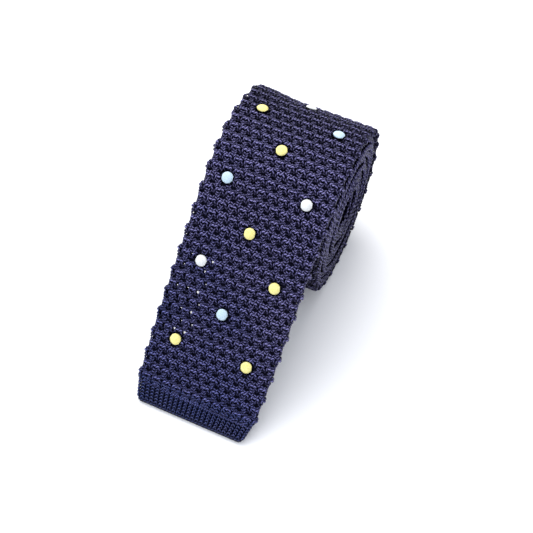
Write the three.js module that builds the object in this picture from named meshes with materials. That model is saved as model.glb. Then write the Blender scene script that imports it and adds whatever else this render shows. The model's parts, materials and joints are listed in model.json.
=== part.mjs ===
// A knitted necktie, rolled up from its tail and set down on a table.
// The front blade leaves the top of the roll and slopes down to the table, where its hem rests.
// The tie is one knitted tube pressed flat, so its two plies lie together as one band.
// In the side view it is one strip: a straight ramp, a slight bend, then a spiral down to an open eye.
// +X runs across the tie, +Y from the front hem towards the roll, and +Z up. Lengths are in millimetres.
import * as THREE from "three";

// The tie as it is made, laid out flat.
const tieLength = 1450;
const bladeWidth = 56;
const neckWidth = 46;
const tailWidth = 50;
const bandThickness = 2.65;
const frontHemLength = 9.6;
const tailHemLength = 9;
const bladeLength = 620;
const neckLength = 400;
const bladeFlare = 36;
const neckTaper = 130;
const tailTaper = 70;

// How it is rolled up. The turns' right edges are nearly level, so the narrow neck is recessed on the left.
const rampLength = 106;
const bendLength = 30;
const bendAngle = THREE.MathUtils.degToRad(8.6);
const windingGap = 0.39;
const eyeRadius = 5;
const coreOval = 1.2;
const coreOvalTilt = THREE.MathUtils.degToRad(35);
const crownLift = 1.2;
const crownDirection = THREE.MathUtils.degToRad(40);
const liftLeftAfterATurn = 0.5;
const edgeWander = 0.7;
const wanderTurns = 1.6;
const tablePress = 0.3;

// The bumps along both edges of the blade: one for every two rows of the knit, as long as one row.
const knitRow = 4.57;
const edgeBumpDepth = 0.9;
const firstBump = 12.3;

// The embroidered spots, in rows of two and one by turns.
const spotRadius = 2.5;
const spotRise = 0.8;
const firstSpotRow = 31;
const spotRowPitch = 17.42;
const spotSeatGap = 0.3;
const spottedTurns = 0.85;

// The gap between pieces that meet end to end.
const pieceGap = 0.3;

// How finely the band is cut up.
const stationsPerRow = 3;
const stationsPerTurn = 24;
const edgeSteps = 4;

// The front hem draws the blade in and has round corners: at is the share of the hem's length.
const frontHemShape = [
  { at: 0, width: 0.81, thickness: 0.5 },
  { at: 0.06, width: 0.845, thickness: 0.8 },
  { at: 0.2, width: 0.875, thickness: 0.95 },
  { at: 0.6, width: 0.91, thickness: 1 },
  { at: 1, width: 0.94, thickness: 1 },
];

const windingPitch = bandThickness + windingGap;
const halfTurn = Math.PI;
const wholeTurn = 2 * Math.PI;

// The band's middle line has this radius at the eye, and at the ramp's end it follows from the wound length.
const innerRadius = eyeRadius + bandThickness / 2;
const woundLength = tieLength - rampLength;
const outerRadius = Math.sqrt(innerRadius ** 2 + (windingPitch * woundLength) / Math.PI);

// The angle wound since the ramp's end, for a distance wound along the middle line.
function angleWound(wound) {
  const radius = Math.sqrt(Math.max(outerRadius ** 2 - (wound * windingPitch) / Math.PI, 0));
  return ((outerRadius - radius) * wholeTurn) / windingPitch;
}

// The distance wound along the middle line, for an angle wound.
function distanceWound(angle) {
  return outerRadius * angle - (windingPitch * angle ** 2) / (2 * wholeTurn);
}

// The middle line's radius: an even spiral with an oval core, loose at the crown where the ramp pulls it.
function windingRadius(angle, endSlope) {
  const even = outerRadius - (windingPitch * angle) / wholeTurn;
  const direction = halfTurn / 2 + endSlope - angle;
  const ovalShare = (outerRadius - even) / (outerRadius - innerRadius);
  const oval = coreOval * ovalShare * Math.cos(2 * (direction - coreOvalTilt));
  const reach = halfTurn / 2 + endSlope - crownDirection;
  const fromCrown = Math.atan2(Math.sin(direction - crownDirection), Math.cos(direction - crownDirection));
  const lobe = Math.cos((halfTurn / 2) * THREE.MathUtils.clamp(fromCrown / reach, -1, 1)) ** 2;
  return even + oval + crownLift * liftLeftAfterATurn ** (angle / wholeTurn) * lobe;
}

// How high the roll's axis stands when the outer turn presses a little into the table below it.
function axisHeight(endSlope) {
  return windingRadius(halfTurn + endSlope, endSlope) + bandThickness / 2 - tablePress;
}

// How high the underside of the front hem is above the table, for a slope at the ramp's end.
function hemHeight(endSlope) {
  const hemSlope = endSlope + bendAngle;
  const bendDrop = (bendLength / bendAngle) * (Math.cos(endSlope) - Math.cos(hemSlope));
  const straightDrop = (rampLength - bendLength) * Math.sin(hemSlope);
  const rampEnd = axisHeight(endSlope) + outerRadius * Math.cos(endSlope);
  const endThickness = bandThickness * frontHemShape[0].thickness;
  return rampEnd - bendDrop - straightDrop - (endThickness / 2) * Math.cos(hemSlope);
}

// The slope that brings the hem down to the table, found by halving the range that holds it.
function slopeAtRampEnd() {
  let low = 0;
  let high = halfTurn / 2;
  for (let i = 0; i < 50; i += 1) {
    const middle = (low + high) / 2;
    if (hemHeight(middle) > 0) low = middle;
    else high = middle;
  }
  return (low + high) / 2;
}

const endSlope = slopeAtRampEnd();
const rampEndDirection = halfTurn / 2 + endSlope;
const rollHeight = axisHeight(endSlope);

// The middle line at a distance from the front hem: its place from the roll's axis and its outward direction.
function middleLine(distance) {
  if (distance >= rampLength) {
    const angle = angleWound(distance - rampLength);
    const direction = rampEndDirection - angle;
    const outward = new THREE.Vector2(Math.cos(direction), Math.sin(direction));
    return { place: outward.clone().multiplyScalar(windingRadius(angle, endSlope)), outward };
  }
  const back = rampLength - distance;
  const bendRadius = bendLength / bendAngle;
  const slope = endSlope + Math.min(back, bendLength) / bendRadius;
  const straight = Math.max(back - bendLength, 0);
  const along = bendRadius * (Math.sin(slope) - Math.sin(endSlope)) + straight * Math.cos(slope);
  const drop = bendRadius * (Math.cos(endSlope) - Math.cos(slope)) + straight * Math.sin(slope);
  const start = new THREE.Vector2(-Math.sin(endSlope), Math.cos(endSlope)).multiplyScalar(outerRadius);
  const place = start.sub(new THREE.Vector2(along, drop));
  return { place, outward: new THREE.Vector2(-Math.sin(slope), Math.cos(slope)) };
}

// Reads a table of rows that are in the order of their first column, straight between the rows.
function readTable(rows, at, column) {
  if (at <= rows[0].at) return rows[0][column];
  for (let i = 1; i < rows.length; i += 1) {
    const [before, after] = [rows[i - 1], rows[i]];
    if (at > after.at) continue;
    return THREE.MathUtils.mapLinear(at, before.at, after.at, before[column], after[column]);
  }
  return rows[rows.length - 1][column];
}

// Above the hem the blade widens to its full width: at is the share of the flare's length, from the front hem's end.
const bladeFlareShape = [
  { at: 0, width: 0.955 },
  { at: 0.3, width: 0.972 },
  { at: 0.6, width: 0.987 },
  { at: 1, width: 1 },
];

// The tail's hem closes the band at the eye: at is the share of the hem's length, from its end.
const tailHemShape = [
  { at: 0, width: 0.86, thickness: 0.6 },
  { at: 0.15, width: 0.92, thickness: 1 },
  { at: 1, width: 0.97, thickness: 1 },
];

// A bump's outward swell at a distance: 0 along the straight row between two bumps and 1 on top of one.
function bumpSwell(distance) {
  return Math.sqrt(Math.max(Math.cos((halfTurn * (distance - firstBump)) / knitRow), 0));
}

// Where each length of the tie begins, as distances from the front hem.
const bladeStart = frontHemLength;
const neckStart = bladeStart + bladeLength;
const tailStart = neckStart + neckLength;
const tailEnd = tieLength - tailHemLength;
const bumpsEnd = rampLength + distanceWound(wholeTurn);

// How far right the band's middle is: the wound edges are level on the right, and wander in and out a little.
function sideways(distance, width) {
  if (distance < rampLength) return 0;
  const turns = angleWound(distance - rampLength) / wholeTurn;
  const wander = edgeWander * Math.sin((wholeTurn * turns) / wanderTurns);
  return THREE.MathUtils.smoothstep(turns, 0, 1) * ((bladeWidth - width) / 2 + wander - edgeWander);
}

function frontHemSection(distance) {
  const share = distance / frontHemLength;
  const width = bladeWidth * readTable(frontHemShape, share, "width");
  return { width, thickness: bandThickness * readTable(frontHemShape, share, "thickness") };
}

function bladeSection(distance) {
  const drawnIn = readTable(bladeFlareShape, distance / bladeFlare, "width");
  const narrowing = THREE.MathUtils.smoothstep(distance, neckStart - neckTaper, neckStart);
  const plain = THREE.MathUtils.lerp(bladeWidth, neckWidth, narrowing) * drawnIn;
  const notch = distance < bumpsEnd ? 1 - bumpSwell(distance) : 0.5;
  return { width: plain - 2 * edgeBumpDepth * notch, thickness: bandThickness };
}

function neckSection() {
  return { width: neckWidth, thickness: bandThickness };
}

function tailSection(distance) {
  const widening = THREE.MathUtils.smoothstep(distance, tailStart, tailStart + tailTaper);
  return { width: THREE.MathUtils.lerp(neckWidth, tailWidth, widening), thickness: bandThickness };
}

function tailHemSection(distance) {
  const share = (tieLength - distance) / tailHemLength;
  const width = tailWidth * readTable(tailHemShape, share, "width");
  return { width, thickness: bandThickness * readTable(tailHemShape, share, "thickness") };
}

// The outline of the band's cross-section: two flat faces and two round edges, as x and height pairs.
function sectionOutline({ width, thickness }) {
  const radius = thickness / 2;
  const reach = width / 2 - radius;
  const outline = [];
  for (const side of [1, -1]) {
    for (let i = 0; i <= edgeSteps; i += 1) {
      const turn = halfTurn / 2 - (halfTurn * i) / edgeSteps;
      outline.push({ x: side * (reach + radius * Math.cos(turn)), height: side * radius * Math.sin(turn) });
    }
  }
  return outline;
}

// Distances on the ramp and the first turn: even shares of the knit's rows, in step with the bumps.
function rowStations(from, to) {
  const step = knitRow / stationsPerRow;
  const first = Math.ceil((from + pieceGap - firstBump) / step);
  const last = Math.floor((to - pieceGap - firstBump) / step);
  return Array.from({ length: last - first + 1 }, (_, i) => firstBump + (first + i) * step);
}

// Distances for a wound piece: at the same directions on every turn, so that the turns' facets lie together.
function windingStations(from, to) {
  const step = wholeTurn / stationsPerTurn;
  const first = Math.ceil(angleWound(from - rampLength) / step);
  const last = Math.floor(angleWound(to - rampLength) / step);
  const stations = [from];
  for (let i = first; i <= last; i += 1) {
    const distance = rampLength + distanceWound(i * step);
    if (distance > from + pieceGap && distance < to - pieceGap) stations.push(distance);
  }
  stations.push(to);
  return stations;
}

// A closed solid of the band, lofted through its cross-sections at the stations, and level where it presses on the table.
function bandGeometry(stations, section) {
  const positions = [];
  for (const distance of stations) {
    const { place, outward } = middleLine(distance);
    const size = section(distance);
    const middle = sideways(distance, size.width);
    for (const { x, height } of sectionOutline(size)) {
      const y = place.x + outward.x * height;
      const z = Math.max(place.y + outward.y * height + rollHeight, 0);
      positions.push(middle + x, y, z);
    }
  }
  const around = 2 * (edgeSteps + 1);
  const faces = [];
  for (let i = 0; i + 1 < stations.length; i += 1) {
    for (let j = 0; j < around; j += 1) {
      const [a, b] = [i * around + j, i * around + ((j + 1) % around)];
      faces.push(a, b, a + around, b, b + around, a + around);
    }
  }
  const lastRing = (stations.length - 1) * around;
  for (let j = 1; j + 1 < around; j += 1) {
    faces.push(0, j + 1, j);
    faces.push(lastRing, lastRing + j, lastRing + j + 1);
  }
  const geometry = new THREE.BufferGeometry();
  geometry.setAttribute("position", new THREE.Float32BufferAttribute(positions, 3));
  geometry.setIndex(faces);
  geometry.computeVertexNormals();
  return geometry;
}

// A spot is a low dome of thread: radii and heights as shares of its radius and rise.
const spotDome = [
  { radius: 0, height: 0 },
  { radius: 0.94, height: 0 },
  { radius: 1, height: 0.3 },
  { radius: 0.86, height: 0.72 },
  { radius: 0.5, height: 0.95 },
  { radius: 0, height: 1 },
];

function spotGeometry() {
  const profile = spotDome.map(
    ({ radius, height }) => new THREE.Vector2(radius * spotRadius, height * spotRise),
  );
  return new THREE.LatheGeometry(profile, 12);
}

// Dyed yarn and thread.
function dyed(color, roughness) {
  return new THREE.MeshStandardMaterial({ color, roughness, metalness: 0 });
}

const knitYarn = dyed(0x26264a, 0.75);
const hemYarn = dyed(0x22244a, 0.75);
const spotThread = {
  yellow: dyed(0xeade8c, 0.55),
  white: dyed(0xe9ebee, 0.55),
  blue: dyed(0xbdd2e8, 0.55),
};

// The spots of one repeat of the pattern: row counts spot rows from the first, and across is a share of the
// blade's width from its middle line. The thread was sewn by eye, so no row or column is quite straight.
const spots = [
  { thread: "yellow", row: 0, across: -0.291 },
  { thread: "yellow", row: 0.01, across: 0.282 },
  { thread: "blue", row: 0.98, across: -0.018 },
  { thread: "white", row: 2, across: -0.298 },
  { thread: "yellow", row: 2.01, across: 0.284 },
  { thread: "yellow", row: 3, across: -0.02 },
  { thread: "blue", row: 4.03, across: -0.318 },
  { thread: "white", row: 4.07, across: 0.298 },
  { thread: "yellow", row: 5.04, across: -0.023 },
  { thread: "yellow", row: 5.99, across: -0.309 },
  { thread: "blue", row: 6.02, across: 0.298 },
  { thread: "white", row: 7.05, across: -0.018 },
];
const rowsPerRepeat = 8;

const tie = new THREE.Group();

function addBand(name, stations, section, material) {
  const mesh = new THREE.Mesh(bandGeometry(stations, section), material);
  mesh.name = name;
  tie.add(mesh);
}

addBand(
  "front_hem",
  frontHemShape.map(({ at }) => at * frontHemLength).map((d) => Math.min(d, bladeStart - pieceGap)),
  frontHemSection,
  hemYarn,
);
addBand(
  "front_blade",
  [bladeStart, ...rowStations(bladeStart, bumpsEnd), ...windingStations(bumpsEnd, neckStart - pieceGap)],
  bladeSection,
  knitYarn,
);
addBand("neck_band", windingStations(neckStart, tailStart - pieceGap), neckSection, knitYarn);
addBand("tail_blade", windingStations(tailStart, tailEnd - pieceGap), tailSection, knitYarn);
addBand("tail_hem", windingStations(tailEnd, tieLength), tailHemSection, hemYarn);

// Seats a spot on the band's outer face, or leaves it out where the roll would press it on the table.
function addSpot(name, x, distance, material) {
  const { place, outward } = middleLine(distance);
  const seat = bandThickness / 2 + spotSeatGap;
  const y = place.x + outward.x * seat;
  const z = place.y + outward.y * seat + rollHeight;
  const lowest = z + spotRise * Math.min(outward.y, 0) - spotRadius * Math.abs(outward.x);
  if (lowest < 0) return;
  const mesh = new THREE.Mesh(spotGeometry(), material);
  mesh.name = name;
  mesh.position.set(x, y, z);
  mesh.rotation.x = Math.atan2(outward.y, outward.x);
  tie.add(mesh);
}

const lastSpotDistance = rampLength + distanceWound(spottedTurns * wholeTurn);
for (const firstRow of [0, rowsPerRepeat]) {
  for (const { thread, row, across } of spots) {
    const distance = firstSpotRow + (firstRow + row) * spotRowPitch;
    if (distance > lastSpotDistance) continue;
    const number = String(firstRow + Math.round(row) + 1).padStart(2, "0");
    const side = across < -0.1 ? "left" : across > 0.1 ? "right" : "middle";
    addSpot(`spot_${number}_${side}`, across * bladeWidth, distance, spotThread[thread]);
  }
}

// The part's origin is on the table, below the middle of the tie.
tie.updateMatrixWorld(true);
const extent = new THREE.Box3().setFromObject(tie);
tie.position.y = -(extent.min.y + extent.max.y) / 2;

export default tie;
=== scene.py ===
"""A rolled knit tie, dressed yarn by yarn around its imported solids.

The tie is one knitted tube pressed flat and rolled up from its tail. Its front blade slopes down off the
roll to the table. A dark ground cloth carries the knit, every course of the knit is a tube of yarn laid
round the band, and each spot is a small patch of satin stitches.
Lengths are in millimetres until a mesh is made, when they turn into metres.
"""
import json

import bpy
import numpy as np
from mathutils import Matrix, Vector


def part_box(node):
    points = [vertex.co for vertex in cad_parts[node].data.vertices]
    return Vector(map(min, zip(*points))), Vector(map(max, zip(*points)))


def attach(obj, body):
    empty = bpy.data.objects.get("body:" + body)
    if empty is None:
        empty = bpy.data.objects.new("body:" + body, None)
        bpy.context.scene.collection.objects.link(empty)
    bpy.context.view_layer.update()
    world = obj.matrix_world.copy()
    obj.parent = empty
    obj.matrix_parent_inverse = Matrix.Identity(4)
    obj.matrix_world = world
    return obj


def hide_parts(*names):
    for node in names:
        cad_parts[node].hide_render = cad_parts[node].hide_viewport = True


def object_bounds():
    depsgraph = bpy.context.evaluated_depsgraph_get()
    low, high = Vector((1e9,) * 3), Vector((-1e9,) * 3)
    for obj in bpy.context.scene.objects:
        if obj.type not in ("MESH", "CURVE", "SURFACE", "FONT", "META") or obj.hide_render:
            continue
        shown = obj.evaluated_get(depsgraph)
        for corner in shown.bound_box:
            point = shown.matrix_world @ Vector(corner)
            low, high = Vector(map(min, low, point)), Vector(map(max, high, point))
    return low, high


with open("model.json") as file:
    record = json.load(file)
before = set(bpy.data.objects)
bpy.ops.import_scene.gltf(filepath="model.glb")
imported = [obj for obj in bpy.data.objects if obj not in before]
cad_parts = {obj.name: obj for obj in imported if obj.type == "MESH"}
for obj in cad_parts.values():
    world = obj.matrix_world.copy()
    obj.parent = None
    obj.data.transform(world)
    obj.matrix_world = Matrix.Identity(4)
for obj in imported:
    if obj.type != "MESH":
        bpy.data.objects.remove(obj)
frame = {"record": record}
cad_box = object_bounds()

METRE = 1000.0
TURN = 2 * np.pi
rng = np.random.default_rng(20)

# The band and how it is rolled up, as in the part's own source.
TIE_LENGTH = 1450.0
BLADE_WIDTH, NECK_WIDTH, TAIL_WIDTH = 56.0, 46.0, 50.0
BAND_THICKNESS = 2.65
FRONT_HEM, TAIL_HEM = 9.6, 9.0
BLADE_LENGTH, NECK_LENGTH = 620.0, 400.0
BLADE_FLARE, NECK_TAPER, TAIL_TAPER = 36.0, 130.0, 70.0
RAMP, BEND, BEND_ANGLE = 106.0, 30.0, np.radians(8.6)
WINDING_GAP, EYE_RADIUS = 0.39, 5.0
CORE_OVAL, CORE_TILT = 1.2, np.radians(35)
CROWN_LIFT, CROWN_DIRECTION, LIFT_LEFT = 1.2, np.radians(40), 0.5
EDGE_WANDER, WANDER_TURNS = 0.7, 1.6
TABLE_PRESS = 0.3
KNIT_ROW, EDGE_BUMP, FIRST_BUMP = 4.57, 0.9, 12.3

# The knit: wales counted across one face, how deep the ground cloth lies, and how low anything reaches.
WALES = 24
GROUND_DEPTH = 1.08
LOWEST = 0.03

# Where each length of the tie begins, as distances from the front hem.
NECK_START = FRONT_HEM + BLADE_LENGTH
TAIL_START = NECK_START + NECK_LENGTH

PITCH = BAND_THICKNESS + WINDING_GAP
INNER = EYE_RADIUS + BAND_THICKNESS / 2
OUTER = np.sqrt(INNER**2 + PITCH * (TIE_LENGTH - RAMP) / np.pi)


def smoothstep(x, low, high):
    """0 below low, 1 above high, and 3t^2 - 2t^3 between them."""
    t = np.clip((np.asarray(x, float) - low) / (high - low), 0, 1)
    return t * t * (3 - 2 * t)


def angle_wound(wound):
    """The angle wound for a length wound on an even spiral that closes in by PITCH a turn."""
    radius = np.sqrt(np.maximum(OUTER**2 - wound * PITCH / np.pi, 0))
    return (OUTER - radius) * TURN / PITCH


def winding_radius(angle, slope):
    """The even spiral, plus an oval core, plus a lobe at the crown that halves with every turn."""
    even = OUTER - PITCH * angle / TURN
    direction = np.pi / 2 + slope - angle
    share = (OUTER - even) / (OUTER - INNER)
    oval = CORE_OVAL * share * np.cos(2 * (direction - CORE_TILT))
    reach = np.pi / 2 + slope - CROWN_DIRECTION
    away = direction - CROWN_DIRECTION
    away = np.arctan2(np.sin(away), np.cos(away))
    lobe = np.cos(np.pi / 2 * np.clip(away / reach, -1, 1)) ** 2
    return even + oval + CROWN_LIFT * LIFT_LEFT ** (angle / TURN) * lobe


def axis_height(slope):
    """The roll's axis stands one winding radius and half a band above the table, less what is pressed."""
    return winding_radius(np.pi + slope, slope) + BAND_THICKNESS / 2 - TABLE_PRESS


def hem_height(slope):
    """How high the hem's underside stands for a slope: the axis and radius, less both drops of the ramp."""
    steep = slope + BEND_ANGLE
    bend_drop = BEND / BEND_ANGLE * (np.cos(slope) - np.cos(steep))
    straight_drop = (RAMP - BEND) * np.sin(steep)
    half_end = BAND_THICKNESS * 0.25 * np.cos(steep)
    return axis_height(slope) + OUTER * np.cos(slope) - bend_drop - straight_drop - half_end


def find_slope():
    """The slope at the ramp's end that brings the hem down to the table, by halving."""
    low, high = 0.0, np.pi / 2
    for _ in range(50):
        middle = (low + high) / 2
        low, high = (middle, high) if hem_height(middle) > 0 else (low, middle)
    return (low + high) / 2


SLOPE = find_slope()
AXIS_Z = axis_height(SLOPE)


def line_from_axis(distance):
    """The band's middle line and outward direction in the side view, from the roll's axis.

    Past the ramp the place is the winding radius along the outward direction. On the ramp it is an arc
    and then a straight line, laid back from the spiral's outer end.
    """
    distance = np.asarray(distance, float)
    angle = angle_wound(np.maximum(distance - RAMP, 0))
    direction = np.pi / 2 + SLOPE - angle
    wound_out = np.stack([np.cos(direction), np.sin(direction)], -1)
    wound = wound_out * winding_radius(angle, SLOPE)[..., None]
    back = np.maximum(RAMP - distance, 0)
    bend_radius = BEND / BEND_ANGLE
    slope = SLOPE + np.minimum(back, BEND) / bend_radius
    straight = np.maximum(back - BEND, 0)
    along = bend_radius * (np.sin(slope) - np.sin(SLOPE)) + straight * np.cos(slope)
    drop = bend_radius * (np.cos(SLOPE) - np.cos(slope)) + straight * np.sin(slope)
    ramp = np.stack([-np.sin(SLOPE) * OUTER - along, np.cos(SLOPE) * OUTER - drop], -1)
    ramp_out = np.stack([-np.sin(slope), np.cos(slope)], -1)
    is_wound = (distance >= RAMP)[..., None]
    return np.where(is_wound, wound, ramp), np.where(is_wound, wound_out, ramp_out)


# The hem's lower corner is the frame's nearest point to -Y, which places the roll's axis.
HEM_END, _ = line_from_axis(0.0)
HEM_OUT = line_from_axis(0.0)[1]
AXIS_Y = cad_box[0][1] * METRE - (HEM_END[0] + HEM_OUT[0] * BAND_THICKNESS * 0.25)


def middle_line(distance):
    """The middle line's place (y, z) on the table, and its outward direction."""
    place, outward = line_from_axis(distance)
    return place + (AXIS_Y, AXIS_Z), outward


HEM_WIDTHS = ((0, 0.81, 0.5), (0.06, 0.845, 0.8), (0.2, 0.875, 0.95), (0.6, 0.91, 1.0), (1, 0.94, 1.0))
FLARE_WIDTHS = ((0, 0.955), (0.3, 0.972), (0.6, 0.987), (1, 1.0))
TAIL_HEM_WIDTHS = ((0, 0.86, 0.6), (0.15, 0.92, 1.0), (1, 0.97, 1.0))


def column(table, at, index):
    """Reads one column of a table by its first column, straight between the rows."""
    rows = np.array(table)
    return np.interp(at, rows[:, 0], rows[:, index])


def bump_swell(distance):
    """1 on top of an edge bump and 0 midway to the next, two rows on: half of one plus a cosine."""
    return 0.5 + 0.5 * np.cos(np.pi * (distance - FIRST_BUMP) / KNIT_ROW)


def band_width(distance):
    """The band's width: the hem's table, the flare, the two tapers, and the bumps on the edges."""
    distance = np.asarray(distance, float)
    hem = column(HEM_WIDTHS, distance / FRONT_HEM, 1) * BLADE_WIDTH
    flare = column(FLARE_WIDTHS, distance / BLADE_FLARE, 1)
    to_neck = smoothstep(distance, NECK_START - NECK_TAPER, NECK_START)
    to_tail = smoothstep(distance, TAIL_START, TAIL_START + TAIL_TAPER)
    plain = BLADE_WIDTH + (NECK_WIDTH - BLADE_WIDTH) * to_neck + (TAIL_WIDTH - NECK_WIDTH) * to_tail
    plain = plain * flare - 2 * EDGE_BUMP * (1 - bump_swell(distance))
    end = (TIE_LENGTH - distance) / TAIL_HEM
    closed = TAIL_WIDTH * column(TAIL_HEM_WIDTHS, end, 1)
    return np.where(distance < FRONT_HEM, hem, np.where(end < 1, closed, plain))


def band_thickness(distance):
    """The band's thickness, which thins towards both ends of the tie."""
    hem = column(HEM_WIDTHS, np.asarray(distance, float) / FRONT_HEM, 2)
    end = column(TAIL_HEM_WIDTHS, (TIE_LENGTH - np.asarray(distance, float)) / TAIL_HEM, 2)
    return BAND_THICKNESS * np.minimum(hem, end)


def sideways(distance, width):
    """How far right the band's middle is: the wound right edges are level, with a slow wander."""
    turns = angle_wound(np.maximum(distance - RAMP, 0)) / TURN
    wander = EDGE_WANDER * (np.sin(TURN * turns / WANDER_TURNS) - 1)
    return smoothstep(turns, 0, 1) * ((BLADE_WIDTH - width) / 2 + wander)


# The crown's left corner stands a little proud of the even roll.
CORNER_LIFT, CORNER_AT, CORNER_REACH = 1.5, 154.0, 18.0


def corner_lift(distance, x):
    """A smooth hump round CORNER_AT that grows from the middle to the left edge: cos^2 times a smoothstep."""
    hump = np.cos(np.pi / 2 * np.clip((distance - CORNER_AT) / CORNER_REACH, -1, 1)) ** 2
    return CORNER_LIFT * hump * smoothstep(-x, 6.0, 24.0)


def on_band(distance, wale, height):
    """A point on the band and the cloth's normal there, for whole arrays.

    wale runs round the band from the middle of its outer face: WALES / 2 is its right edge and WALES the
    middle of its inner face. A wale is an even share of the outline, which is two flats joined by half
    circles. height is how far the point stands out from the outline.
    """
    distance, wale, height = np.broadcast_arrays(distance, wale, height)
    width, thick = band_width(distance), band_thickness(distance)
    edge = thick / 2
    flat = width / 2 - edge
    quarter = np.pi / 2 * edge
    round_share = np.abs((wale + WALES) % (2 * WALES) - WALES) / (WALES / 2)
    side = np.sign((wale + WALES) % (2 * WALES) - WALES)
    along = round_share * (flat + quarter)
    turned = np.clip((along - flat) / edge, 0, np.pi)
    past = np.maximum(along - flat - 2 * quarter, 0)
    across = side * (np.minimum(along, flat) - past + edge * np.sin(turned))
    normal_x, normal_out = side * np.sin(turned), np.cos(turned)
    place, outward = middle_line(distance)
    lift = edge * normal_out + height * normal_out + corner_lift(distance, across)
    x = sideways(distance, width) + across + height * normal_x
    yz = place + outward * lift[..., None]
    point = np.stack([x, yz[..., 0], yz[..., 1]], -1)
    normal = np.stack([normal_x, outward[..., 0] * normal_out, outward[..., 1] * normal_out], -1)
    return point, normal


def add_mesh(name, points, quads, uvs, material, ends=None, depths=None):
    """Makes a smooth mesh from points in millimetres, four-sided faces, their UVs, and closing faces.

    The table flattens what would reach under it. depths, one a point, is kept as the attribute "depth",
    which the yarn's material turns into painted shade.
    """
    mesh = bpy.data.meshes.new(name)
    points = np.array(points, np.float32)
    points[:, 2] = np.maximum(points[:, 2], LOWEST)
    quads = np.asarray(quads, np.int32)
    loops = quads.reshape(-1)
    starts = np.arange(len(quads)) * 4
    totals = np.full(len(quads), 4)
    uvs = np.asarray(uvs, np.float32).reshape(-1, 2)
    if ends is not None and len(ends):
        ends = np.asarray(ends, np.int32)
        starts = np.concatenate([starts, len(loops) + np.arange(len(ends)) * ends.shape[1]])
        totals = np.concatenate([totals, np.full(len(ends), ends.shape[1])])
        loops = np.concatenate([loops, ends.reshape(-1)])
        uvs = np.concatenate([uvs, np.zeros((ends.size, 2), np.float32)])
    mesh.vertices.add(len(points))
    mesh.vertices.foreach_set("co", (points / METRE).reshape(-1))
    mesh.loops.add(len(loops))
    mesh.loops.foreach_set("vertex_index", loops.astype(np.int32))
    mesh.polygons.add(len(starts))
    mesh.polygons.foreach_set("loop_start", starts.astype(np.int32))
    mesh.polygons.foreach_set("loop_total", totals.astype(np.int32))
    mesh.polygons.foreach_set("use_smooth", np.ones(len(starts), bool))
    mesh.uv_layers.new(name="yarn").data.foreach_set("uv", uvs.reshape(-1))
    if depths is not None:
        depth_layer = mesh.attributes.new(name="depth", type="FLOAT", domain="POINT")
        depth_layer.data.foreach_set("value", np.asarray(depths, np.float32))
    mesh.update()
    mesh.validate()
    mesh.materials.append(material)
    piece = bpy.data.objects.new(name, mesh)
    bpy.context.scene.collection.objects.link(piece)
    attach(piece, "root")
    return piece


def tubes(centres, normals, radius, sides, closed=False):
    """Yarns as tubes: centres is (yarn, point, xyz). Each ring starts under the yarn, where its seam hides.

    Returns points, quads, the quads' UVs (length along the yarn, share of the way round), end faces, and how
    far each point is raised towards the cloth's normal.
    """
    yarns, count, _ = centres.shape
    if closed:
        tangent = np.roll(centres, -1, 1) - np.roll(centres, 1, 1)
    else:
        tangent = np.gradient(centres, axis=1)
    tangent /= np.linalg.norm(tangent, axis=-1, keepdims=True)
    side = np.cross(tangent, normals)
    side /= np.linalg.norm(side, axis=-1, keepdims=True)
    up = np.cross(side, tangent)
    turn = np.pi + np.arange(sides) * TURN / sides
    radius = np.broadcast_to(radius, (yarns, count))[..., None, None]
    ring = np.cos(turn)[:, None] * up[:, :, None] + np.sin(turn)[:, None] * side[:, :, None]
    points = (centres[:, :, None] + radius * ring).reshape(-1, 3)
    raised = (radius[..., 0] * np.sum(ring * normals[:, :, None], -1)).reshape(-1)
    step = np.linalg.norm(np.diff(centres, axis=1, append=centres[:, :1]), axis=-1)
    length = np.concatenate([np.zeros((yarns, 1)), np.cumsum(step, 1)], 1)
    spans = count if closed else count - 1
    y, i, j = np.meshgrid(np.arange(yarns), np.arange(spans), np.arange(sides), indexing="ij")
    after = (i + 1) % count

    def corner(point, around):
        return (y * count + point) * sides + around % sides

    quads = np.stack([corner(i, j), corner(i, j + 1), corner(after, j + 1), corner(after, j)], -1)
    near, far = length[y, i], length[y, i + 1]
    low, high = j / sides, (j + 1) / sides
    uvs = np.stack([near, low, near, high, far, high, far, low], -1)
    ends = None
    if not closed:
        first = (np.arange(yarns)[:, None] * count) * sides + np.arange(sides)[::-1]
        last = (np.arange(yarns)[:, None] * count + count - 1) * sides + np.arange(sides)
        ends = np.concatenate([first, last])
    return points, quads.reshape(-1, 4), uvs.reshape(-1, 2), ends, raised


# The four courses of one row of the knit, over half a cell: from the column of a proud arch to the next
# column. Each point is (across in wales, along in rows, height of the yarn's middle in millimetres).
ARCH = (
    (0, -0.04, 0.0), (0.26, 0.03, 0.06), (0.54, 0.02, 0.0),
    (0.70, -0.13, -0.30), (0.84, -0.33, -0.56), (0.94, -0.44, -0.66), (1, -0.46, -0.68),
)
UPPER_VEE = (
    (0, -0.38, -0.20), (0.20, -0.33, -0.24), (0.40, -0.22, -0.50), (0.60, -0.16, -0.76), (1, -0.21, -0.78),
)
LOWER_VEE = (
    (0, -0.62, -0.20), (0.24, -0.55, -0.24), (0.46, -0.44, -0.48), (0.66, -0.40, -0.80), (1, -0.47, -0.90),
)
PLAIN = (
    (0, -0.87, -0.36), (0.25, -0.79, -0.14), (0.5, -0.70, -0.48), (0.75, -0.77, -0.14), (1, -0.85, -0.36),
)
COURSES = ((ARCH, 0.47), (UPPER_VEE, 0.42), (LOWER_VEE, 0.42), (PLAIN, 0.42))


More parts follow.
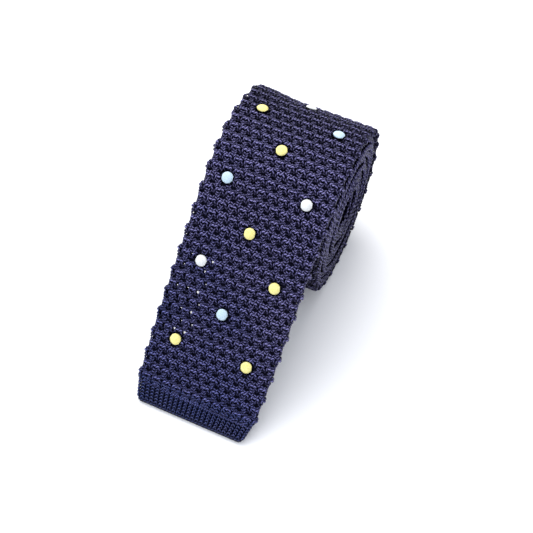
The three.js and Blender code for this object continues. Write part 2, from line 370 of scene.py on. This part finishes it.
def course_cell(table, steps):
    """One whole cell of a course, two wales wide, as 2 * steps points evenly spaced along the yarn.

    The half cell is mirrored, and a Catmull-Rom curve through its points is shared out by length.
    """
    half = np.array(table)
    back = half[-2:0:-1] * (-1, 1, 1) + (2, 0, 0)
    cell = np.concatenate([half, back])
    knots = np.concatenate([cell[-1:] - (2, 0, 0), cell, cell[:2] + (2, 0, 0)])
    t = np.linspace(0, 1, 12, endpoint=False)[:, None]
    spans = []
    for a, b, c, d in zip(knots, knots[1:], knots[2:], knots[3:]):
        bend = (2 * b) + (c - a) * t + (2 * a - 5 * b + 4 * c - d) * t**2 + (3 * b - a - 3 * c + d) * t**3
        spans.append(bend / 2)
    path = np.concatenate(spans + [cell[:1] + (2, 0, 0)])
    size = path * (BLADE_WIDTH / WALES, KNIT_ROW, 1)
    length = np.concatenate([[0], np.cumsum(np.linalg.norm(np.diff(size, axis=0), axis=1))])
    even = np.linspace(0, length[-1], 2 * steps, endpoint=False)
    return np.stack([np.interp(even, length, path[:, k]) for k in range(3)], -1)


ROW_SKEW = -0.021
ROW_STRETCH, STRETCH_MIDDLE, STRETCH_REACH = 2.0, 102.0, 34.0


def row_distance(row, across):
    """How far from the hem a row lies: even rows, a little skew, and rows eased up the middle of the ramp."""
    even = FIRST_BUMP - 0.4 + KNIT_ROW * row
    share = np.clip((even - STRETCH_MIDDLE) / STRETCH_REACH, -1, 1)
    middle = np.cos(np.pi / 2 * np.clip(np.abs(across) / (BLADE_WIDTH / 2), 0, 1)) ** 0.5
    return even + ROW_STRETCH * np.cos(np.pi / 2 * share) ** 2 * middle + ROW_SKEW * across


SPOT_RADIUS, SPOT_RISE, STITCHES = 2.3, 0.8, 15
CROWN_SHIFT = 2.7


def spot_place(node):
    """A spot's middle, its distance from the hem, its place across the band and the outward direction there.

    Past the ramp a spot sits CROWN_SHIFT nearer the hem than its solid, as the photograph shows it.
    """
    low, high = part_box(node)
    centre = np.array((low + high) / 2) * METRE
    tries = np.arange(0.0, TIE_LENGTH, 0.2)
    places, outwards = middle_line(tries)
    outer = places + outwards * (BAND_THICKNESS / 2 + SPOT_RISE / 2)
    nearest = np.argmin(np.linalg.norm(outer - centre[1:], axis=-1))
    distance = tries[nearest] - CROWN_SHIFT * smoothstep(tries[nearest], RAMP + 26, RAMP + 50)
    place, outward = middle_line(distance)
    stand = (centre[1:] - places[nearest]) @ outwards[nearest]
    across = centre[0] - sideways(distance, band_width(distance))
    middle = np.array([centre[0], *(place + outward * stand)])
    return middle, float(distance), float(across), np.array([0, *outward])


SPOT_PARTS = [part for part in frame["record"]["subparts"] if part["node"].startswith("spot_")]
SPOT_PLACES = {part["node"]: spot_place(part["node"]) for part in SPOT_PARTS}
DIMPLE_DEPTH, DIMPLE_EDGE = 0.75, 1.15


def dimple(distance, across):
    """How far the stitches of a spot pull the knit down: all of it under the spot, none DIMPLE_EDGE past it."""
    depth = np.zeros(np.broadcast(distance, across).shape)
    for _, spot_distance, spot_across, _ in SPOT_PLACES.values():
        away = np.hypot(distance - spot_distance, across - spot_across)
        depth += DIMPLE_DEPTH * (1 - smoothstep(away, SPOT_RADIUS + 0.1, SPOT_RADIUS + 0.1 + DIMPLE_EDGE))
    return depth


# Small holes right through the knit, low on the left of the ramp: one to a wale and row, by turns.
EYELET_ROWS, EYELET_WALES, EYELET_FULL = (5, 13), (-11, -4), 9
EYELET_RADIUS, UNDER_RADIUS, SIGHT_SLANT, EYELET_FADE = 0.92, 1.75, 0.5, 0.08


def eyelet_places():
    """Each eyelet's distance, place across and radius, on the columns between the arches of its row."""
    places = []
    for row in range(*EYELET_ROWS):
        for wale in range(*EYELET_WALES):
            if (row + wale) % 2:
                across = wale * BLADE_WIDTH / WALES
                radius = EYELET_RADIUS - EYELET_FADE * max(row - EYELET_FULL, 0) + rng.uniform(-0.06, 0.06)
                places.append((FIRST_BUMP - 0.8 + KNIT_ROW * row, across, radius))
    return places


EYELETS = eyelet_places()


def part_yarns(distance, wale, x, under):
    """Pushes the yarns aside round each eyelet: a reach r from its middle becomes (r^3 + R^3)^(1/3)."""
    for middle, across, radius in EYELETS:
        along, beside = distance - middle, x - across + SIGHT_SLANT * under
        reach = np.hypot(along, beside) + 1e-6
        size = np.where(under, UNDER_RADIUS, radius)
        grown = np.cbrt(reach**3 + size**3) / reach - 1
        grown = np.where(reach < 4, grown, 0)
        distance = distance + along * grown
        wale = wale + beside * grown * WALES / BLADE_WIDTH * np.where(under, -1, 1)
    return distance, wale


def slow_noise(shape, size):
    """Smooth unevenness along each yarn: three sines of chance length and phase, of the given size."""
    yarns, count = shape
    at = np.arange(count)[None, :]
    total = np.zeros(shape)
    for waves in (0.021, 0.047, 0.11):
        spread = waves * rng.uniform(0.7, 1.3, (yarns, 1))
        total += np.sin(TURN * (at * spread + rng.uniform(0, 1, (yarns, 1))))
    return total * size / 3


# Painted shade: how much deeper the yarn is taken to lie, for its darkness alone, over the crown and low
# on the roll's sides.
CROWN_PAINTED_SHADE, SIDE_PAINTED_SHADE = 0.28, 0.30


def lay_courses(rows, first_wale, last_wale, steps):
    """Centres, normals, radius and height of each course of some rows, between two wales round the band.

    Odd rows start one wale on, so that their arches stand between those of the even rows.
    """
    laid = []
    for table, radius in COURSES:
        cell = course_cell(table, steps)
        for odd in (0, 1):
            picked = rows[rows % 2 == odd]
            if not len(picked):
                continue
            first = int(first_wale) - int(first_wale) % 2 - 2
            cells = int((last_wale - first) // 2 + 2)
            across = (cell[None, :, 0] + first + 2 * np.arange(cells)[:, None]).reshape(-1) + odd
            along, height = np.tile(cell[:, 1], cells), np.tile(cell[:, 2], cells)
            keep = (across >= first_wale) & (across < last_wale - 1e-6)
            across, along, height = across[keep], along[keep], height[keep]
            shape = (len(picked), len(across))
            wale = across + slow_noise(shape, 0.05)
            folded = np.abs((across + WALES) % (2 * WALES) - WALES)
            x = np.sign((across + WALES) % (2 * WALES) - WALES) * np.minimum(folded, WALES - folded)
            x = x * BLADE_WIDTH / WALES
            distance = row_distance(picked[:, None] + along, x) + slow_noise(shape, 0.12)
            outer_face = folded < WALES / 2
            lifted = height + slow_noise(shape, 0.06) - dimple(distance, x) * outer_face
            distance, wale = part_yarns(distance, wale, np.broadcast_to(x, shape), ~outer_face)
            point, normal = on_band(distance, wale, lifted)
            # Painted shade over the crown: the height kept for the yarn's darkness is lowered there.
            laid.append((point, normal, radius, lifted - CROWN_PAINTED_SHADE * smoothstep(distance, RAMP + 4, RAMP + 50)))
    return laid


def knit_piece(name, rows, first_wale, last_wale, steps, sides, material):
    """One joined mesh of every course between two rows and two wales."""
    closed = last_wale - first_wale >= 2 * WALES
    return join_tubes(name, lay_courses(np.arange(*rows), first_wale, last_wale, steps), sides, closed, material)


def join_tubes(name, batches, sides, closed, material):
    """Joins batches of yarns, each (centres, normals, radius, height), into one mesh."""
    parts, offset = [], 0
    for centres, normals, radius, height in batches:
        points, quads, uvs, ends, raised = tubes(centres, normals, radius, sides, closed)
        depths = np.repeat(np.broadcast_to(height, centres.shape[:2]).reshape(-1), sides) + raised
        parts.append((points, quads + offset, uvs, None if ends is None else ends + offset, depths))
        offset += len(points)
    points, quads, uvs, ends, depths = zip(*parts)
    ends = None if closed else np.concatenate(ends)
    points, quads, uvs, depths = (np.concatenate(each) for each in (points, quads, uvs, depths))
    return add_mesh(name, points, quads, uvs, material, ends, depths)


def link(tree, source, target):
    tree.links.new(source, target)


def math_node(tree, operation, first, second=None):
    """A Math node on sockets or numbers, whose result is returned."""
    node = tree.nodes.new("ShaderNodeMath")
    node.operation = operation
    for socket, value in zip(node.inputs, (first, second)):
        if value is None:
            continue
        if isinstance(value, (int, float)):
            socket.default_value = value
        else:
            link(tree, value, socket)
    return node.outputs[0]


def ramp_node(tree, factor, stops):
    """A colour ramp from (place, colour) stops."""
    node = tree.nodes.new("ShaderNodeValToRGB")
    link(tree, factor, node.inputs["Fac"])
    elements = node.color_ramp.elements
    while len(elements) < len(stops):
        elements.new(0.5)
    for element, (place, colour) in zip(elements, stops):
        element.position = place
        element.color = (*colour, 1)
    return node.outputs["Color"]


def noise_node(tree, vector, scale, detail=3.0, roughness=0.55):
    node = tree.nodes.new("ShaderNodeTexNoise")
    node.inputs["Scale"].default_value = scale
    node.inputs["Detail"].default_value = detail
    node.inputs["Roughness"].default_value = roughness
    link(tree, vector, node.inputs["Vector"])
    return node.outputs["Fac"]


def new_material(name, roughness, specular, sheen, sheen_tint):
    """A named material with its shader's constant sockets set, and the tree and shader to build on."""
    material = bpy.data.materials.new(name)
    material.use_nodes = True
    tree = material.node_tree
    shader = tree.nodes["Principled BSDF"]
    shader.inputs["Roughness"].default_value = roughness
    shader.inputs["Specular IOR Level"].default_value = specular
    shader.inputs["Sheen Weight"].default_value = sheen
    shader.inputs["Sheen Roughness"].default_value = 0.35
    shader.inputs["Sheen Tint"].default_value = (*sheen_tint, 1)
    return material, tree, shader


# Painted shade: how dark the yarn is painted by its height,
# from DEEPEST under the band's outline up over DEPTH_REACH.
DEEPEST, DEPTH_REACH = 0.9, 1.4
PAINTED_SHADE_STOPS = (
    (0.0, (0.01, 0.01, 0.01)), (0.38, (0.08, 0.08, 0.08)), (0.66, (0.46, 0.46, 0.46)), (0.92, (1.0, 1.0, 1.0)),
)


def combine_node(tree, x, y):
    node = tree.nodes.new("ShaderNodeCombineXYZ")
    link(tree, x, node.inputs["X"])
    link(tree, y, node.inputs["Y"])
    return node.outputs["Vector"]


def twisted_yarn(name, stops, tint, roughness=0.4, specular=0.35, twist=1.5, plies=2):
    """Plied yarn: strands wind round it in a slanting sine with fine fibres along them.

    Painted shade makes it darker and duller the deeper it lies in the knit, and the lower left of the tie
    and slow patches of it are multiplied by the tint.
    """
    material, tree, shader = new_material(name, roughness, 0.02, 0.0, (0.55, 0.55, 0.85))
    nodes = tree.nodes
    uv = nodes.new("ShaderNodeUVMap")
    uv.uv_map = "yarn"
    split = nodes.new("ShaderNodeSeparateXYZ")
    link(tree, uv.outputs["UV"], split.inputs[0])
    along, around = split.outputs["X"], split.outputs["Y"]
    winding = math_node(tree, "ADD", math_node(tree, "MULTIPLY", along, 1 / twist),
                        math_node(tree, "MULTIPLY", around, float(plies)))
    wave = math_node(tree, "SINE", math_node(tree, "MULTIPLY", winding, TURN))
    fibre_place = combine_node(tree, math_node(tree, "MULTIPLY", along, 0.9),
                               math_node(tree, "MULTIPLY", winding, 5.0))
    fibre = noise_node(tree, fibre_place, 1.0, 2)
    place = nodes.new("ShaderNodeTexCoord").outputs["Object"]
    patch = noise_node(tree, place, 45, 2)
    strand = math_node(tree, "ADD", math_node(tree, "MULTIPLY", wave, 0.26), 0.22)
    strand = math_node(tree, "ADD", strand, math_node(tree, "MULTIPLY", fibre, 0.56))
    # The ramp over the ply pattern paints shade in the valleys between plies and highlights on the ridges.
    colour = ramp_node(tree, strand, stops)
    # Painted shade: the depth attribute, through its ramp, darkens the colour and lowers the specular of deep
    # yarn.
    depth = nodes.new("ShaderNodeAttribute")
    depth.attribute_name = "depth"
    raised = math_node(tree, "MULTIPLY", math_node(tree, "ADD", depth.outputs["Fac"], DEEPEST), 1 / DEPTH_REACH)
    lit = ramp_node(tree, raised, PAINTED_SHADE_STOPS)
    shade = nodes.new("ShaderNodeMix")
    shade.data_type = "RGBA"
    shade.blend_type = "MULTIPLY"
    shade.inputs["Factor"].default_value = 1.0
    link(tree, colour, shade.inputs["A"])
    link(tree, lit, shade.inputs["B"])
    link(tree, math_node(tree, "MULTIPLY", lit, specular), shader.inputs["Specular IOR Level"])
    sides = nodes.new("ShaderNodeSeparateXYZ")
    link(tree, place, sides.inputs[0])
    lower = math_node(tree, "MULTIPLY", sides.outputs["Y"], -12.0)
    left = math_node(tree, "MULTIPLY", sides.outputs["X"], -8.0)
    share = math_node(tree, "ADD", math_node(tree, "ADD", lower, left), math_node(tree, "MULTIPLY", patch, 1.6))
    share = math_node(tree, "SUBTRACT", share, 0.80)
    clipped = math_node(tree, "MINIMUM", math_node(tree, "MAXIMUM", share, 0.0), 1.0)
    mix = nodes.new("ShaderNodeMix")
    mix.data_type = "RGBA"
    mix.blend_type = "MULTIPLY"
    mix.inputs["B"].default_value = (*tint, 1)
    link(tree, clipped, mix.inputs["Factor"])
    link(tree, shade.outputs["Result"], mix.inputs["A"])
    link(tree, mix.outputs["Result"], shader.inputs["Base Color"])
    bump = nodes.new("ShaderNodeBump")
    bump.inputs["Strength"].default_value = 1.0
    bump.inputs["Distance"].default_value = 0.00025
    link(tree, strand, bump.inputs["Height"])
    link(tree, bump.outputs["Normal"], shader.inputs["Normal"])
    return material


def ground_cloth_material():
    """The back of the other ply, seen between the yarns: fine navy noise, kept near-black as painted shade between
    the yarns.
    """
    material, tree, shader = new_material("ground_cloth", 0.85, 0.1, 0.0, (0.5, 0.5, 0.8))
    place = tree.nodes.new("ShaderNodeTexCoord").outputs["Object"]
    grain = noise_node(tree, place, 900, 2)
    colour = ramp_node(tree, grain, ((0.3, (0.0025, 0.0025, 0.009)), (0.8, (0.008, 0.008, 0.026))))
    link(tree, colour, shader.inputs["Base Color"])
    bump = tree.nodes.new("ShaderNodeBump")
    bump.inputs["Strength"].default_value = 0.5
    bump.inputs["Distance"].default_value = 0.0003
    link(tree, grain, bump.inputs["Height"])
    link(tree, bump.outputs["Normal"], shader.inputs["Normal"])
    return material


# Colours along the ply pattern: the yarn's navy, with painted shade in the valleys between plies and painted
# highlights on their ridges.
BODY_STOPS = ((0.30, (0.005, 0.005, 0.046)), (0.54, (0.044, 0.038, 0.150)), (0.78, (0.285, 0.262, 0.540)))
HEM_STOPS = ((0.28, (0.004, 0.004, 0.036)), (0.52, (0.026, 0.026, 0.100)), (0.80, (0.135, 0.132, 0.310)))
body_yarn = twisted_yarn("body_yarn", BODY_STOPS, (0.46, 0.58, 0.82))
hem_yarn = twisted_yarn("hem_yarn", HEM_STOPS, (0.50, 0.75, 1.0))
ground_material = ground_cloth_material()

# The knit, in stretches of rows: name, first and last row, first and last wale, steps a wale, yarn sides.
EDGE = WALES / 2
OUTER_FACE = (-EDGE - 1.5, EDGE + 1.5)
for name, rows, wales, steps, sides in (
    ("knit_ramp_low", (0, 11), OUTER_FACE, 9, 6),
    ("knit_ramp_high", (11, 22), OUTER_FACE, 9, 6),
    ("knit_ramp_under", (0, 22), (EDGE + 0.5, 3 * EDGE - 0.5), 4, 4),
    ("knit_crown", (22, 34), OUTER_FACE, 8, 6),
    ("knit_roll_back", (34, 53), OUTER_FACE, 5, 5),
    ("knit_roll_low", (53, 73), OUTER_FACE, 5, 5),
    ("knit_recess", (80, 138), (-EDGE - 5.2, -EDGE - 0.6), 4, 4),
):
    piece = knit_piece(name, rows, *wales, steps, sides, body_yarn)


CHAIN_START, CHAIN_PERIOD, CHAIN_STEP = FIRST_BUMP + 72 * KNIT_ROW, KNIT_ROW, 0.46
CHAIN_OFF, CHAIN_SWING, CHAIN_HEIGHT, CHAIN_RISE, CHAIN_RADIUS = 0.40, 0.24, -0.40, 0.34, 0.46


def edge_chains(side):
    """The folded edge of the wound turns: two cords along it, each of two yarns half a turn apart."""
    distances = np.arange(CHAIN_START, TIE_LENGTH - 3, CHAIN_STEP)
    shape = (1, len(distances))
    batches = []
    for off in (-CHAIN_OFF, CHAIN_OFF):
        for half in (0, 0.5):
            turn = TURN * (distances / CHAIN_PERIOD + half) * np.sign(off)
            wale = side * (EDGE + off + CHAIN_SWING * np.sin(turn)) + slow_noise(shape, 0.05)
            height = CHAIN_HEIGHT + CHAIN_RISE * np.cos(turn) + slow_noise(shape, 0.05)
            point, normal = on_band(distances[None, :], wale, height)
            # Painted shade: the cords' height kept for darkness is lowered all along, and more low on the roll's
            # sides.
            shade = 0.42 + SIDE_PAINTED_SHADE * (1 - smoothstep(point[..., 2], 10, 62))
            batches.append((point, normal, CHAIN_RADIUS, 1.6 * (height - CHAIN_HEIGHT) - shade))
    return batches


for name, side in (("knit_edges_left", -1), ("knit_edges_right", 1)):
    piece = join_tubes(name, edge_chains(side), 4, False, body_yarn)

HEM_LOOP = (
    (0, -0.55, -0.95), (0.14, -0.45, -0.75), (0.22, -0.05, -0.22), (0.34, 0.38, -0.02), (0.5, 0.5, 0.05),
    (0.66, 0.38, -0.02), (0.78, -0.05, -0.22), (0.86, -0.45, -0.75), (1, -0.55, -0.95),
)
HEM_PITCH, HEM_FIRST = 1.35, 2.0


def hem_courses(steps, radius):
    """The fine knitting at the front end: each course is a chain of round-topped loops, one to a wale."""
    loop = course_cell(HEM_LOOP, steps)
    distances = np.arange(HEM_FIRST, FRONT_HEM + 0.6, HEM_PITCH)
    across = (loop[None, :, 0] + 2 * np.arange(WALES)[:, None]).reshape(-1) - WALES
    along, height = np.tile(loop[:, 1], WALES), np.tile(loop[:, 2], WALES)
    point, normal = on_band(distances[:, None] + along * HEM_PITCH * 1.1, across, height)
    return point, normal, radius, height


def hem_bead(distance, height, radius):
    """The rounded end of the hem: one thick yarn round the end, swelling a little at every wale."""
    across = np.arange(-WALES, WALES, 0.2)
    swell = 0.05 * np.cos(TURN * (across - 0.5))
    point, normal = on_band(np.full((1, len(across)), distance), across, height + swell)
    return point, normal, radius, height + swell


HEM_BATCHES = [hem_courses(8, 0.37), hem_bead(1.0, -0.42, 0.5), hem_bead(0.45, -0.62, 0.42)]
hem_piece = join_tubes("knit_front_hem", HEM_BATCHES, 6, True, hem_yarn)


def ground_cloth(name, stations, count, eyelets=()):
    """The dark ribbon under the yarn: the band's outline drawn in by GROUND_DEPTH, closed at both ends.

    Corner j of a ring lies over corner count / 2 - 1 - j. At each eyelet the nearest face and the one under
    it are left out, and four walls join their corners.
    """
    around = -WALES + 2 * WALES * (np.arange(count) + 0.5) / count
    depth = -np.minimum(GROUND_DEPTH, band_thickness(stations) * 0.5 - 0.25)
    points, _ = on_band(stations[:, None], around[None, :], depth[:, None])
    rows = len(stations)
    i, j = np.meshgrid(np.arange(rows - 1), np.arange(count), indexing="ij")
    beside = (j + 1) % count
    quads = np.stack([i * count + beside, (i + 1) * count + beside, (i + 1) * count + j, i * count + j], -1)
    keep = np.ones(quads.shape[:2], bool)
    walls = []
    for middle, across, _ in eyelets:
        row = int(np.argmin(np.abs((stations[1:] + stations[:-1]) / 2 - middle)))
        cell = int(np.round((across * WALES / BLADE_WIDTH + WALES) * count / (2 * WALES))) - 1
        near = quads[row, cell]
        far = near // count * count + (count // 2 - 1 - near % count) % count
        keep[row, cell] = keep[row, (count // 2 - 2 - cell) % count] = False
        walls += [(near[k], near[(k + 1) % 4], far[(k + 1) % 4], far[k]) for k in range(4)]
    quads = np.concatenate([quads[keep], np.array(walls, int).reshape(-1, 4)])
    ends = np.stack([np.arange(count)[::-1], (rows - 1) * count + np.arange(count)])
    piece = add_mesh(name, points.reshape(-1, 3), quads, np.zeros((quads.size, 2)), ground_material, ends)
    return piece


ramp_ground = ground_cloth("ground_cloth_ramp", np.arange(1.2, RAMP + 3, 1.0), 96, EYELETS)
ground = ground_cloth("ground_cloth_roll", np.arange(RAMP + 2, TIE_LENGTH - 1, 3.0), 36)
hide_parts("front_hem", "front_blade", "neck_band", "tail_blade", "tail_hem")


def satin_thread(name, low, high):
    """Glossy embroidery thread, with a fine random grain between two colours."""
    material, tree, shader = new_material(name, 0.42, 0.4, 0.2, (1, 1, 1))
    place = tree.nodes.new("ShaderNodeTexCoord").outputs["Object"]
    grain = noise_node(tree, place, 1400, 2)
    link(tree, ramp_node(tree, grain, ((0.25, low), (0.75, high))), shader.inputs["Base Color"])
    bump = tree.nodes.new("ShaderNodeBump")
    bump.inputs["Strength"].default_value = 0.25
    bump.inputs["Distance"].default_value = 0.0001
    link(tree, grain, bump.inputs["Height"])
    link(tree, bump.outputs["Normal"], shader.inputs["Normal"])
    return material


THREADS = {
    "thread_yellow": satin_thread("thread_yellow", (0.78, 0.69, 0.18), (0.88, 0.83, 0.40)),
    "thread_white": satin_thread("thread_white", (0.68, 0.70, 0.70), (0.80, 0.81, 0.80)),
    "thread_blue": satin_thread("thread_blue", (0.46, 0.61, 0.72), (0.58, 0.72, 0.82)),
}


def satin_spot(node, slot_name):
    """Satin stitches side by side over a low dome: each is a half-oval chord, as long as the circle is there."""
    centre, _, _, outward = SPOT_PLACES[node]
    across, along = np.array([1.0, 0, 0]), np.cross(outward, (1.0, 0, 0))
    turn = rng.uniform(-0.5, 0.5)
    lay = np.cos(turn) * along + np.sin(turn) * across
    step = np.cross(outward, lay)
    offsets = (np.arange(STITCHES) - (STITCHES - 1) / 2) / (STITCHES / 2) * (SPOT_RADIUS - 0.1)
    half = np.sqrt(np.maximum(SPOT_RADIUS**2 - offsets**2, 0.3))
    share = np.linspace(-1, 1, 11)
    out = (offsets[:, None] ** 2 + (half[:, None] * share) ** 2) / (SPOT_RADIUS * 1.06) ** 2
    dome = np.sqrt(np.maximum(1 - out, 0.0))
    base = centre - outward * (SPOT_RISE / 2 + 0.35)
    wobble = rng.normal(0, 0.02, (STITCHES, 1))
    points = (base + step * (offsets[:, None, None] + wobble[..., None]) + lay * (half[:, None] * share)[..., None]
              + outward * (dome * (SPOT_RISE + 0.45) - 0.15)[..., None])
    normals = np.broadcast_to(outward, points.shape)
    piece = join_tubes(f"stitched_{node}", [(points, normals, 0.24, 0)], 6, False, THREADS[slot_name])
    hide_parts(node)
    return piece


spots = [satin_spot(part["node"], part["material_slot"]) for part in SPOT_PARTS]


def plain_material(name, colour, roughness):
    material, _, shader = new_material(name, roughness, 0.2, 0.0, (1, 1, 1))
    shader.inputs["Base Color"].default_value = (*colour, 1)
    return material


def stage():
    """A white table, a large soft light from the upper left, and a bright even surround."""
    mesh = bpy.data.meshes.new("table")
    reach = 3.0
    mesh.from_pydata([(-reach, -reach, 0), (reach, -reach, 0), (reach, reach, 0), (-reach, reach, 0)], [], [(0, 1, 2, 3)])
    mesh.materials.append(plain_material("table_white", (0.93, 0.93, 0.935), 0.7))
    table = bpy.data.objects.new("table", mesh)
    bpy.context.scene.collection.objects.link(table)
    for name, place, size, power, colour in (
        ("key", (-0.36, 0.62, 0.80), 1.0, 13.0, (1.0, 0.99, 0.97)),
    ):
        light = bpy.data.lights.new(name, "AREA")
        light.energy, light.size, light.color = power, size, colour
        lamp = bpy.data.objects.new(name, light)
        lamp.location = place
        lamp.rotation_euler = (Vector((0, 0, 0.02)) - Vector(place)).to_track_quat("-Z", "Y").to_euler()
        bpy.context.scene.collection.objects.link(lamp)
    world = bpy.data.worlds.new("studio")
    world.use_nodes = True
    background = world.node_tree.nodes["Background"]
    background.inputs["Color"].default_value = (0.90, 0.93, 1.0, 1)
    way = world.node_tree.nodes.new("ShaderNodeTexCoord").outputs["Generated"]
    turned = world.node_tree.nodes.new("ShaderNodeVectorMath")
    turned.operation = "DOT_PRODUCT"
    turned.inputs[1].default_value = (-0.4, -0.35, 0)
    link(world.node_tree, way, turned.inputs[0])
    share = math_node(world.node_tree, "MULTIPLY", turned.outputs["Value"], 1.13)
    strength = math_node(world.node_tree, "ADD", share, 1.13)
    link(world.node_tree, strength, background.inputs["Strength"])
    bpy.context.scene.world = world
    bpy.context.scene.view_settings.view_transform = "Standard"


# The camera stands where the photograph was taken from, slightly rolled.
CAMERA_TARGET = np.array((3.3, 2.13, 20.0)) / METRE
CAMERA_ELEVATION, CAMERA_AZIMUTH, CAMERA_ROLL = np.radians(58.19), np.radians(21.47), np.radians(2.77)
CAMERA_DISTANCE, CAMERA_LENS = 445.17 / METRE, 69.06


def add_camera():
    """Looks at the target from an elevation and azimuth, rolled about its own line of sight."""
    e, a, roll = CAMERA_ELEVATION, CAMERA_AZIMUTH, CAMERA_ROLL
    back = np.array((np.sin(a) * np.cos(e), -np.cos(a) * np.cos(e), np.sin(e)))
    level = np.array((np.cos(a), np.sin(a), 0))
    upright = np.cross(back, level)
    right = np.cos(roll) * level + np.sin(roll) * upright
    up = np.cos(roll) * upright - np.sin(roll) * level
    data = bpy.data.cameras.new("camera")
    data.lens = CAMERA_LENS
    camera = bpy.data.objects.new("camera", data)
    place = CAMERA_TARGET + back * CAMERA_DISTANCE
    columns = np.stack([right, up, back, place], 1)
    camera.matrix_world = Matrix([*columns.tolist(), (0, 0, 0, 1)])
    bpy.context.scene.collection.objects.link(camera)
    bpy.context.scene.camera = camera


stage()
add_camera()
